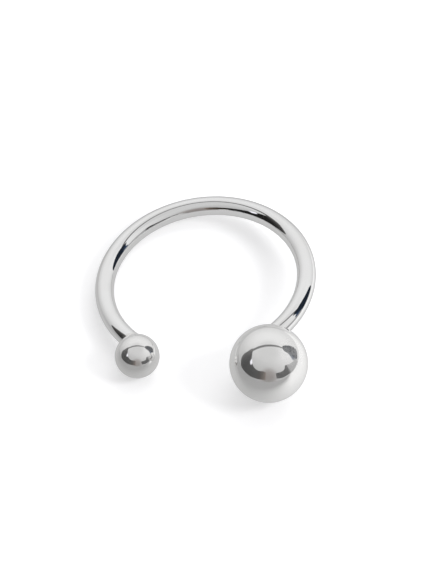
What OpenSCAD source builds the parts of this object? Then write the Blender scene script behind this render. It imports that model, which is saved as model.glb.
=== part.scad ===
// Open finger ring of round wire with a large ball on one end and a small ball on the
// other, lying on its side on a flat surface. Millimetres, +Z up, opening towards -Y.
// The origin is under the middle of the ring's bounding box, on that surface.

/* [Band] */
// Inside diameter of the band, which sets the finger size
inner_d = 16.5; // [15:0.1:20]
// Diameter of the round wire
wire_d = 1.7; // [1.3:0.1:2.4]

/* [Balls] */
// Diameter of the large ball
large_ball_d = 7; // [5.5:0.1:8]
// Diameter of the small ball
small_ball_d = 4; // [3.5:0.1:5]
// How far each ball stands into the finger hole, past the inside of the band
ball_inset = 0.1; // [0.05:0.01:0.3]

/* [Opening] */
// Angle at the ring's centre from the middle of the opening to the centre of each ball
half_opening = 33; // [28:1:45]

/* [Hidden] */
$fn = 128;

wire_r = wire_d / 2;
large_r = large_ball_d / 2;
small_r = small_ball_d / 2;
// Radius of the wire's centre line
ring_r = inner_d / 2 + wire_r;

// Centre of a ball in the plane of the ring, side 1 at the right of the opening, -1 at its left.
// The ball's inner side follows the finger hole, so the wire enters it off its middle.
function ball_at(r, side) =
    (inner_d / 2 + r - ball_inset) * [side * sin(half_opening), -cos(half_opening)];
large_at = ball_at(large_r, 1);
small_at = ball_at(small_r, -1);

// The ring lies on three points: under each ball and under the back of the band. With slope
// as the rise of the ring's plane along its X and Y, and lift as the height of its centre:
//   lift + large_at * slope = large_r
//   lift + small_at * slope = small_r
//   lift - ring_r * norm(slope) = wire_r
// The first two give slope = level + lift * gain, and the third is a quadratic for lift.
function solve_pair(u, v) =
    [u * small_at[1] - v * large_at[1], v * large_at[0] - u * small_at[0]]
    / cross(large_at, small_at);
level = solve_pair(large_r, small_r);
gain = solve_pair(-1, -1);
square_term = 1 - ring_r ^ 2 * (gain * gain);
half_linear = wire_r + ring_r ^ 2 * (level * gain);
constant = wire_r ^ 2 - ring_r ^ 2 * (level * level);
lift = constant / (half_linear - sqrt(half_linear ^ 2 - square_term * constant));
slope = level + lift * gain;
tilt = asin(norm(slope));

// Where a point of the ring's plane lies in plan once the ring is tilted
function in_plan(at) = at - slope * (slope * at) / (1 + cos(tilt));
// How far the tilted band reaches from the ring's centre along X (axis 0) or Y (axis 1)
function band_reach(axis) = ring_r * sqrt(1 - slope[axis] ^ 2) + wire_r;
large_plan = in_plan(large_at);
small_plan = in_plan(small_at);
box_low = [
    min(-band_reach(0), small_plan[0] - small_r),
    min(large_plan[1] - large_r, small_plan[1] - small_r)
];
box_high = [max(band_reach(0), large_plan[0] + large_r), band_reach(1)];
box_middle = (box_low + box_high) / 2;

// Round wire bent to an arc, which ends in the middle of each ball
module band() {
    color("gainsboro")
        rotate([0, 0, half_opening - 90])
            rotate_extrude(angle = 360 - 2 * half_opening)
                translate([ring_r, 0])
                    circle(r = wire_r);
}

module ball(at, r) {
    color("silver")
        translate([at[0], at[1], 0])
            sphere(r = r);
}

module large_ball() {
    ball(large_at, large_r);
}

module small_ball() {
    ball(small_at, small_r);
}

// The balls are soldered to the wire and polished with it, so the ring is one solid
module ring() {
    translate([-box_middle[0], -box_middle[1], lift])
        rotate(a = tilt, v = [slope[1], -slope[0], 0])
            union() {
                band();
                large_ball();
                small_ball();
            }
}

ring();
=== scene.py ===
# An open finger ring of round wire with a ball on each end, polished, lying on a pale table
import math
import bpy
from mathutils import Matrix, Vector, noise


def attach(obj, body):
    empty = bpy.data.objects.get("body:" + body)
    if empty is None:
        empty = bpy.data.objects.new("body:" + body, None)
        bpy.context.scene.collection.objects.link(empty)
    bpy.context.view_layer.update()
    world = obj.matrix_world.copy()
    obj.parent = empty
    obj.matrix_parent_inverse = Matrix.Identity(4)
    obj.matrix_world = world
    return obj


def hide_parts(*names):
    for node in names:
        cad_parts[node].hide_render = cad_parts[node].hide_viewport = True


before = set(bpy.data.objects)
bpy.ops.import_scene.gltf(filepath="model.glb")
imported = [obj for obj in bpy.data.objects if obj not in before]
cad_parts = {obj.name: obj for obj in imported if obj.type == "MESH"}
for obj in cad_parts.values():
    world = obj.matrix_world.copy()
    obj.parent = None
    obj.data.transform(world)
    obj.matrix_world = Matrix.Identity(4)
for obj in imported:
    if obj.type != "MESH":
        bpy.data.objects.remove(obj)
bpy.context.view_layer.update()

print("frame loaded:", sorted(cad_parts))
mm = 0.001


# Shader maths: a socket that takes part in sums, so that 1 - mask adds its own Math node
class Flow:
    def __init__(self, tree, socket=None):
        self.tree = tree
        self.socket = socket

    # any node that isn't plain arithmetic: its settings are set first, then its sockets
    def node(self, kind, settings=None, sockets=None, out=0):
        made = self.tree.nodes.new("ShaderNode" + kind)
        for name, value in (settings or {}).items():
            setattr(made, name, value)
        for name, value in (sockets or {}).items():
            if isinstance(value, Flow):
                self.tree.links.new(value.socket, made.inputs[name])
            else:
                made.inputs[name].default_value = value
        return Flow(self.tree, made.outputs[out] if made.outputs else None)

    def sum(self, operation, first, second):
        pair = (first, second)
        if any(isinstance(v, Flow) and v.socket.type in ("VECTOR", "RGBA") for v in pair):
            pair = [v if isinstance(v, (Flow, tuple)) else (v, v, v) for v in pair]
            return self.node("VectorMath", {"operation": operation}, dict(enumerate(pair)))
        return self.node("Math", {"operation": operation}, dict(enumerate(pair)))

    def __add__(self, other):
        return self.sum("ADD", self, other)

    def __radd__(self, other):
        return self.sum("ADD", other, self)

    def __sub__(self, other):
        return self.sum("SUBTRACT", self, other)

    def __rsub__(self, other):
        return self.sum("SUBTRACT", other, self)

    def __mul__(self, other):
        return self.sum("MULTIPLY", self, other)

    def __rmul__(self, other):
        return self.sum("MULTIPLY", other, self)

    # 0 below low and 1 above high, eased between them
    def rise(self, low, high):
        return self.node("MapRange", {"interpolation_type": "SMOOTHSTEP"},
                         {"Value": self, "From Min": low, "From Max": high})

    def noise(self, scale, detail=2.0, roughness=0.5):
        return self.node("TexNoise", None, {"Vector": self, "Scale": scale, "Detail": detail,
                                            "Roughness": roughness})

    def dot(self, other):
        return self.node("VectorMath", {"operation": "DOT_PRODUCT"}, {0: self, 1: tuple(other)}, "Value")

    # two colours, mixed by this value as the share of the second
    def colours(self, first, second):
        pair = [c if isinstance(c, Flow) else (*c, 1.0) for c in (first, second)]
        return self.node("Mix", {"data_type": "RGBA"}, {0: self, 6: pair[0], 7: pair[1]}, 2)


def newMaterial(name):
    made = bpy.data.materials.new(name)
    made.use_nodes = True
    made.node_tree.nodes.clear()
    return made, Flow(made.node_tree)


def newObject(name, points, faces, material, smooth=False):
    mesh = bpy.data.meshes.new(name)
    mesh.from_pydata(points, [], faces)
    mesh.materials.append(material)
    if smooth:
        mesh.shade_smooth()
    made = bpy.data.objects.new(name, mesh)
    bpy.context.scene.collection.objects.link(made)
    return made


# The ring: one sweep from the far side of the small ball, along the wire, to the far side of the
# large ball, with a thin fillet of solder where the wire meets each ball
ring = {
    "innerDiameter": 16.5,  # millimetres, as all lengths here
    "wireDiameter": 1.7,
    "largeBallDiameter": 7.0,
    "smallBallDiameter": 4.0,
    "ballInset": 0.1,  # how far a ball stands into the finger hole
    "halfOpening": 33.0,  # degrees, from the middle of the opening to a ball
    "solderFillet": 0.1,
    "solderReach": 0.35,  # how far the solder's tone reaches over the metal on each side
    "waviness": 0.003,  # what is left of the hammering and filing after the polish
    "waveLength": (2.6, 1.3, 1.3),  # along the wire and round it
    "around": 128,  # points round the wire
    "along": 360,  # rows along the wire
    "ballRows": 96,
    "filletRows": 8,
}
wireRadius = ring["wireDiameter"] / 2
lineRadius = ring["innerDiameter"] / 2 + wireRadius  # of the wire's centre line
fillet = ring["solderFillet"]


# A ball by its radius and side: 1 at the right of the opening, -1 at its left
class Ball:
    def __init__(self, radius, side):
        self.radius = radius
        self.side = side
        self.distance = ring["innerDiameter"] / 2 + radius - ring["ballInset"]
        self.angle = math.radians((ring["halfOpening"] - 90) if side == 1 else (270 - ring["halfOpening"]))
        self.centre = self.distance * Vector((math.cos(self.angle), math.sin(self.angle), 0))
        self.joint = (wirePoint(self.angleAt(0, 0, 0), 0, 0) - self.centre).normalized()

    # where along the wire a point of a tube of that radius, at that turn round it, is gap clear
    # of the ball
    def angleAt(self, turn, radius, gap):
        reach = lineRadius + radius * math.cos(turn)
        height = radius * math.sin(turn)
        cosine = (reach ** 2 + self.distance ** 2 + height ** 2 - (self.radius + gap) ** 2) \
            / (2 * reach * self.distance)
        return self.angle + self.side * math.acos(cosine)

    # from the wire over the fillet and the ball to its far side: (point, how near the solder)
    def line(self, turn):
        angle = self.angleAt(turn, wireRadius + fillet, fillet)
        middle = wirePoint(angle, turn, wireRadius + fillet)
        start = (wirePoint(angle, turn, wireRadius) - middle).normalized()
        end = (self.centre - middle).normalized()
        steps = ring["filletRows"]
        points = [(middle + fillet * start.slerp(end, i / steps), 1.0) for i in range(steps)]
        start, end = -end, -self.joint
        for i in range(ring["ballRows"]):
            share = (i / ring["ballRows"]) ** 1.5  # rows lie closest at the joint
            toward = start.slerp(end, share)
            near = max(0.0, 1 - start.angle(toward) * self.radius / ring["solderReach"])
            points.append((self.centre + self.radius * toward, near))
        return angle, points


def wirePoint(angle, turn, radius):
    reach = lineRadius + radius * math.cos(turn)
    return Vector((reach * math.cos(angle), reach * math.sin(angle), radius * math.sin(turn)))


largeBall = Ball(ring["largeBallDiameter"] / 2, 1)
smallBall = Ball(ring["smallBallDiameter"] / 2, -1)


# The ring lies on both balls and the back of its band: the slope of its plane along X and Y, and
# the height of its centre, from three equations, of which the last is a quadratic
def restingPose():
    large, small = largeBall.centre.xy, smallBall.centre.xy
    area = large.cross(small)

    def solvePair(u, v):
        return Vector((u * small.y - v * large.y, v * large.x - u * small.x)) / area

    level, gain = solvePair(largeBall.radius, smallBall.radius), solvePair(-1, -1)
    squareTerm = 1 - lineRadius ** 2 * gain.dot(gain)
    halfLinear = wireRadius + lineRadius ** 2 * level.dot(gain)
    constant = wireRadius ** 2 - lineRadius ** 2 * level.dot(level)
    lift = constant / (halfLinear - math.sqrt(halfLinear ** 2 - squareTerm * constant))
    slope = level + lift * gain
    turn = Matrix.Rotation(math.asin(slope.length), 4, Vector((slope.y, -slope.x, 0)))
    return Matrix.Translation((0, 0, lift)) @ turn


def buildRing(bandFinish, ballFinish):
    count, along = ring["around"], ring["along"]
    columns = []
    for k in range(count):
        turn = 2 * math.pi * k / count
        leftEnd, leftLine = smallBall.line(turn)
        rightEnd, rightLine = largeBall.line(turn)
        column = [(p, near, p - smallBall.centre) for p, near in reversed(leftLine)]
        for i in range(1, along):
            angle = leftEnd + (rightEnd - leftEnd) * i / along
            flow = Vector((lineRadius * angle, wireRadius * math.cos(turn), wireRadius * math.sin(turn)))
            place = Vector(c / length for c, length in zip(flow, ring["waveLength"]))
            wave = ring["waviness"] * noise.noise(place)
            end = min(i, along - i) * lineRadius * abs(rightEnd - leftEnd) / along
            near = max(0.0, 1 - end / ring["solderReach"])
            column.append((wirePoint(angle, turn, wireRadius + wave * min(1, end)), near, flow))
        column += [(p, near, p - largeBall.centre) for p, near in rightLine]
        columns.append(column)
    rows = len(columns[0])
    points, nears, flows = [], [], []
    pose = restingPose()
    for row in range(1, rows):
        for column in columns:
            point, near, flow = column[row]
            points.append(pose @ point)
            nears.append(near)
            flows.append(flow)
    for ball in (smallBall, largeBall):
        points.append(pose @ (ball.centre - ball.radius * ball.joint))
        nears.append(0.0)
        flows.append(-ball.radius * ball.joint)
    # the origin is under the middle of the box
    middle = [(min(p[i] for p in points) + max(p[i] for p in points)) / 2 for i in (0, 1)]
    shift = Vector((*middle, 0))
    points = [(p - shift) * mm for p in points]
    rings = rows - 1
    faces, slots = [], []
    ballFaces = ring["ballRows"] + ring["filletRows"] // 2
    for row in range(rings - 1):
        onBall = row < ballFaces - 1 or row > rings - 1 - ballFaces
        for k in range(count):
            a, b = row * count + k, row * count + (k + 1) % count
            faces.append((a, b, b + count, a + count))
            slots.append(1 if onBall else 0)
    last = (rings - 1) * count
    for k in range(count):
        faces.append((len(points) - 2, (k + 1) % count, k))
        faces.append((len(points) - 1, last + k, last + (k + 1) % count))
        slots += [1, 1]
    made = newObject("double_ball_ring", points, faces, bandFinish, smooth=True)
    made.data.materials.append(ballFinish)
    made.data.polygons.foreach_set("material_index", slots)
    made.data.attributes.new("solder", "FLOAT", "POINT").data.foreach_set("value", nears)
    made.data.attributes.new("grain", "FLOAT_VECTOR", "POINT").data.foreach_set(
        "vector", [c for f in flows for c in f])
    spot = largeBall.radius * Vector(silver["rubbedAt"]).normalized()
    worn = []
    for p in points:
        away = (p / mm + shift - pose @ largeBall.centre - spot).length
        worn.append(max(0.0, 1 - (away / silver["rubbedSize"]) ** 2))
    made.data.attributes.new("rubbed", "FLOAT", "POINT").data.foreach_set("value", worn)
    return made, Matrix.Translation(-shift) @ pose


# Polished silver: a sharp reflection, a share of haze, and a veil that scatters light like paper
silver = {
    "bandColour": (0.975, 0.975, 0.975),
    "ballColour": (0.975, 0.972, 0.967),
    "warm": (0.93, 0.92, 0.91),
    "solderColour": (0.80, 0.78, 0.74),
    "cloudScale": 0.45,  # of the noises, from the broadest to the finest
    "smudgeScale": 1.4,
    "mottleScale": 3.2,
    "scratchScale": 9.0,
    "scratchStrength": 0.35,
    "sharpRoughness": 0.03,
    "hazeRoughness": 0.42,
    "bandHaze": 0.006,
    "ballHaze": 0.10,
    "bandVeil": 0.002,  # from the finest wear, which the balls take first
    "ballVeil": 0.095,
    "scratchDepth": 0.0012 * mm,
    "rubbedAt": (0.62, -0.17, 0.77),  # on the large ball, from its centre towards its worn side
    "rubbedSize": 1.6,
}


def silverFinish(name, tint, haze, veil, scratchStretch):
    made, flow = newMaterial(name)
    grain = flow.node("Attribute", {"attribute_name": "grain"}, None, "Vector")
    solder = flow.node("Attribute", {"attribute_name": "solder"}, None, "Fac")
    rubbed = flow.node("Attribute", {"attribute_name": "rubbed"}, None, "Fac")
    cloud = grain.noise(silver["cloudScale"], 3.0).rise(0.35, 0.75)
    smudge = grain.noise(silver["smudgeScale"], 4.0, 0.6).rise(0.45, 0.8)
    mottle = grain.noise(silver["mottleScale"], 4.0, 0.65).rise(0.35, 0.65)
    scratches = (grain * scratchStretch).noise(silver["scratchScale"], 3.0, 0.7)
    colour = (cloud * 0.45).colours(tint, silver["warm"])
    colour = (solder * 0.6).colours(colour, silver["solderColour"])
    bump = flow.node("Bump", None, {"Strength": silver["scratchStrength"],
                                    "Distance": silver["scratchDepth"], "Height": scratches})
    worn = rubbed * (0.02 + mottle * 0.12)
    sharp = flow.node("BsdfPrincipled", None, {
        "Base Color": colour, "Metallic": (1 - veil) - worn, "Normal": bump,
        "Roughness": silver["sharpRoughness"] + smudge * 0.03 + solder * 0.1})
    hazy = flow.node("BsdfPrincipled", None, {
        "Base Color": colour, "Metallic": 1.0, "Roughness": silver["hazeRoughness"]})
    share = haze + smudge * (0.4 * haze) + solder * 0.2 + worn
    shader = flow.node("MixShader", None, {0: share, 1: sharp, 2: hazy})
    flow.node("OutputMaterial", None, {"Surface": shader})
    return made


bandSilver = silverFinish("band_silver", silver["bandColour"], silver["bandHaze"], silver["bandVeil"],
                          (0.25, 3.0, 3.0))
ballSilver = silverFinish("ball_silver", silver["ballColour"], silver["ballHaze"], silver["ballVeil"],
                          (1.0, 1.0, 1.0))
ringPiece, ringPose = buildRing(bandSilver, ballSilver)
ringCentre = ringPose.translation * mm
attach(ringPiece, "root")
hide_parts("ring")
print("ring made:", len(ringPiece.data.polygons), "faces, centre", [round(c / mm, 3) for c in ringCentre])


# The camera, at the photograph's angle to the ring
camera = {
    "azimuth": 4.027,
    "elevation": 53.136,
    "roll": -0.429,
    "distance": 700.0,
    "lens": 490.14,
    "sensor": 36.0,  # the long side's width
    "aimRight": 0.850,  # from the point under the ring's centre to the middle of the picture
    "aimUp": 0.848,
}


def direction(azimuth, elevation):
    # azimuth 0 is the front of the ring (-Y) and 90 its right (+X), in degrees
    a, e = math.radians(azimuth), math.radians(elevation)
    return Vector((math.sin(a) * math.cos(e), -math.cos(a) * math.cos(e), math.sin(e)))


def placeCamera():
    back = direction(camera["azimuth"], camera["elevation"])
    right = direction(camera["azimuth"] + 90, 0)
    up = back.cross(right)
    turn = Matrix((right, up, back)).transposed().to_4x4() \
        @ Matrix.Rotation(math.radians(camera["roll"]), 4, "Z")
    aim = Vector((ringCentre.x, ringCentre.y, 0)) \
        + turn.to_3x3() @ Vector((camera["aimRight"], camera["aimUp"], 0)) * mm
    data = bpy.data.cameras.new("camera")
    data.lens = camera["lens"]
    data.sensor_width = camera["sensor"]
    data.clip_end = 10
    made = bpy.data.objects.new("camera", data)
    made.matrix_world = Matrix.Translation(aim + back * camera["distance"] * mm) @ turn
    bpy.context.scene.collection.objects.link(made)
    bpy.context.scene.camera = made


placeCamera()
print("camera placed")


# The table: white where the camera sees it, and a grey sheet in the ring's reflections. Its glow
# has four shades: inside the ring, outside it, painted light towards the bright side and painted
# shade before the opening
table = {
    "seen": {"reach": 3000.0, "height": 0.0, "colour": (0.95, 0.95, 0.963),
             "inside": 0.294, "outside": 0.294, "bright": 0.294, "dim": 0.294},
    # the sheet's bright shade is painted light on the lamps' side, its dim shade painted shade
    "mirrored": {"reach": 120.0, "height": -0.01, "colour": (0.16, 0.16, 0.16),
                 "inside": 0.415, "outside": 0.34, "bright": 0.76, "dim": 0.21},
    "outsideEdge": (9.0, 16.0),  # from the ring's middle
    "brightSide": 75.0,  # azimuth
    "brightEdge": (3.0, 21.0),
    "dimSide": -24.0,
    "dimEdge": (5.5, 18.0),
}


def buildTable(name, sheet, seen):
    paint, flow = newMaterial(name)

    def share(distance, edge):
        return distance.rise(*(r * mm for r in table[edge]))

    def grey(shade):
        return (sheet[shade],) * 3

    diffuse = flow.node("BsdfDiffuse", None, {"Color": (*sheet["colour"], 1.0)})
    place = flow.node("NewGeometry", None, None, "Position")
    away = flow.node("VectorMath", {"operation": "DISTANCE"},
                     {0: place, 1: (ringCentre.x, ringCentre.y, 0)}, "Value")
    # painted light towards the bright side and painted shade before the opening
    bright = share(place.dot(direction(table["brightSide"], 0)), "brightEdge")
    dim = share(place.dot(direction(table["dimSide"], 0)), "dimEdge")
    around = dim.colours(bright.colours(grey("outside"), grey("bright")), grey("dim"))
    glow = share(away, "outsideEdge").colours(grey("inside"), around)
    light = flow.node("Emission", None, {"Color": glow})
    flow.node("OutputMaterial", None, {"Surface": flow.node("AddShader", None, {0: diffuse, 1: light})})
    r = sheet["reach"] * mm
    made = newObject(name, [(-r, -r, 0), (r, -r, 0), (r, r, 0), (-r, r, 0)], [(0, 1, 2, 3)], paint)
    made.location.z = sheet["height"] * mm
    made.visible_camera = seen
    made.visible_glossy = made.visible_diffuse = made.visible_transmission = not seen
    made.visible_shadow = False


buildTable("table", table["seen"], True)
buildTable("mirrored_sheet", table["mirrored"], False)
print("table laid")


# The backdrop: large boards and a gap in the tent's ceiling, dark or bright, which only reflections
# show. A panel is made from columns of (point, shade, cover) and is seen from the ring's side alone
def buildPanel(name, columns, tint):
    paint, flow = newMaterial(name)
    shade = flow.node("Attribute", {"attribute_name": "shade"}, None, "Color")
    cover = flow.node("Attribute", {"attribute_name": "cover"}, None, "Fac")
    glow = flow.node("Emission", None, {"Color": shade})
    clear = flow.node("BsdfTransparent")
    front = 1 - flow.node("NewGeometry", None, None, "Backfacing")
    flow.node("OutputMaterial", None,
              {"Surface": flow.node("MixShader", None, {0: front * cover, 1: clear, 2: glow})})
    rows = [row for column in columns for row in column]
    points = [Vector(row[0]) for row in rows]
    high = len(columns[0])
    faces = [(i * high + j, (i + 1) * high + j, (i + 1) * high + j + 1, i * high + j + 1)
             for i in range(len(columns) - 1) for j in range(high - 1)]
    a, b, c = (points[i] for i in faces[-1][1:])
    if (b - a).cross(c - a).dot(ringCentre / mm - a) < 0:
        faces = [face[::-1] for face in faces]
    made = newObject(name, [p * mm for p in points], faces, paint)
    shades = [c for row in rows for c in (*(row[1] * t for t in tint), 1.0)]
    made.data.attributes.new("shade", "FLOAT_COLOR", "POINT").data.foreach_set("color", shades)
    made.data.attributes.new("cover", "FLOAT", "POINT").data.foreach_set("value", [row[2] for row in rows])
    made.visible_camera = made.visible_shadow = made.visible_diffuse = False


# Each board: how far off it stands, its tint, and rows of (azimuth, low edge, high edge, shade)
boards = {
    "front_board": (500.0, (1.0, 0.97, 0.95), [
        (-108, 42, 52, 0.14), (-104.5, 36, 51, 0.13), (-101, 28, 49, 0.10), (-99.5, 18, 48.5, 0.08),
        (-96, 10, 46.5, 0.06), (-90, 4, 44.5, 0.035), (-81, -1, 42.5, 0.012), (-70, -3, 37.5, 0.010),
        (-60, -2.5, 33, 0.010), (-50, -1.5, 29, 0.012), (-38, 0, 26.5, 0.02), (-28, 1.5, 26.5, 0.02)]),
    "brown_board": (500.0, (1.0, 0.80, 0.68), [
        (-28, 1.5, 26.5, 0.02), (-21, 2.5, 27.5, 0.03), (-14, 3.5, 29, 0.07), (-8, 4, 28, 0.12),
        (-4, 4, 27, 0.22)]),
    "right_board": (500.0, (1.0, 1.0, 1.0), [
        (25, 6, 22, 0.05), (31, 4.5, 22, 0.03), (40, 2.5, 20.5, 0.03), (48, 2, 19.5, 0.03),
        (54, 1.5, 22, 0.03), (58, 1, 26, 0.03), (61, 1, 28, 0.04), (64, 0.5, 28, 0.10),
        (67, 0, 26, 0.33), (73, -0.5, 21.5, 0.35), (81, -0.5, 17.5, 0.35), (88, 0, 14, 0.35),
        (98, -0.5, 12.5, 0.30)]),
    "side_board": (500.0, (0.7, 1.2, 2.2), [
        (91, 14, 18, 0.06), (94, 12.5, 26, 0.05), (97.5, 12.5, 30, 0.04), (100, 3, 37, 0.02),
        (103, 3.5, 45, 0.01), (107, 4, 48.5, 0.01), (112, 4.5, 49.5, 0.01), (117, 5, 49, 0.01),
        (121, 7, 48.5, 0.01), (123.5, 14, 48, 0.01), (125.5, 26, 45, 0.01)]),
    "glint_board": (480.0, (1.08, 1.07, 1.15), [
        (-71, 36, 39, 0.8), (-67, 30, 38, 0.9), (-62, 27, 36, 0.9), (-58, 26, 34, 0.85)]),
}

# The gap runs from left to right behind the ring and gets narrower
gap = {
    "height": 450.0,
    "left": -400.0,
    "right": 390.0,
    "behind": 132.0,
    "turn": 6.0,  # degrees, seen from above
    "halfWidths": (46.0, 26.0),
    "shade": 0.08,
    "steps": 16,
}


def buildBoards():
    for name, (distance, tint, rows) in boards.items():
        buildPanel(name, [[(direction(azimuth, edge) * distance, shade, 1) for edge in (low, high)]
                          for azimuth, low, high, shade in rows], tint)


def buildGap():
    turned = Matrix.Rotation(math.radians(gap["turn"]), 3, "Z")
    wide, narrow = gap["halfWidths"]
    columns = []
    for i in range(gap["steps"] + 1):
        share = i / gap["steps"]
        x = gap["left"] + (gap["right"] - gap["left"]) * share
        width = wide + (narrow - wide) * share
        column = []
        for side, cover in ((-1, 0), (-0.5, 1), (0.5, 1), (1, 0)):
            point = turned @ Vector((x, gap["behind"] + side * width, gap["height"]))
            column.append((point, gap["shade"], cover))
        columns.append(column)
    buildPanel("ceiling_gap", columns, (1.0, 1.0, 1.0))


buildBoards()
buildGap()
print("boards set")


# The light: a pale tent all round, white for the camera, and two soft lamps. Directions are
# (azimuth, elevation), and a rise is between two cosines
tent = {
    "litSide": (155, 15),
    "litRise": (-0.85, 0.8),
    "sideShades": (0.49, 0.8),  # of the far and the lit side
    "lowShare": 0.83,  # of that shade at the table's height
    "highRise": (-0.05, 0.62),
    "topRise": (0.72, 1.0),
    "topShade": 0.6,
    "viewerSide": (3, 16),
    "viewerSpread": 30,
    "viewerTint": (0.58, 0.53, 0.51),
    "white": 1.05,
}


def hangTent():
    world = bpy.data.worlds.new("tent")
    world.use_nodes = True
    world.node_tree.nodes.clear()
    bpy.context.scene.world = world
    flow = Flow(world.node_tree)
    facing = flow.node("TexCoord", None, None, "Generated")
    upward = facing.dot((0, 0, 1))
    lit = facing.dot(direction(*tent["litSide"])).rise(*tent["litRise"])
    far, near = tent["sideShades"]
    low = tent["lowShare"]
    side = (far + lit * (near - far)) * (low + upward.rise(*tent["highRise"]) * (1 - low))
    level = side + upward.rise(*tent["topRise"]) * (tent["topShade"] - side)
    spread = math.cos(math.radians(tent["viewerSpread"]))
    viewer = facing.dot(direction(*tent["viewerSide"])).rise(spread, 1.0)
    colour = viewer.colours((1.0, 1.0, 1.0), tent["viewerTint"])
    seen = flow.node("LightPath", None, None, "Is Camera Ray")
    shaded = flow.node("Background", None, {"Color": colour, "Strength": level})
    white = flow.node("Background", None, {"Color": (1, 1, 1, 1), "Strength": tent["white"]})
    flow.node("OutputWorld", None,
              {"Surface": flow.node("MixShader", None, {0: seen, 1: shaded, 2: white})})


lamps = {
    "distance": 500.0,
    "soft_lamp_right": {"azimuth": 80, "elevation": 40, "size": 180.0, "power": 0.73},
    "soft_lamp_back": {"azimuth": 160, "elevation": 51, "size": 420.0, "power": 0.42},
}


def hangLamp(name):
    lamp = lamps[name]
    data = bpy.data.lights.new(name, "AREA")
    data.shape = "DISK"
    data.size = lamp["size"] * mm
    data.energy = lamp["power"]
    made = bpy.data.objects.new(name, data)
    toward = direction(lamp["azimuth"], lamp["elevation"])
    made.location = toward * lamps["distance"] * mm
    made.rotation_euler = toward.to_track_quat("Z", "Y").to_euler()
    made.visible_camera = False
    made.visible_glossy = False
    bpy.context.scene.collection.objects.link(made)


hangTent()
hangLamp("soft_lamp_right")
hangLamp("soft_lamp_back")
bpy.context.scene.view_settings.view_transform = "Standard"
print("light set")
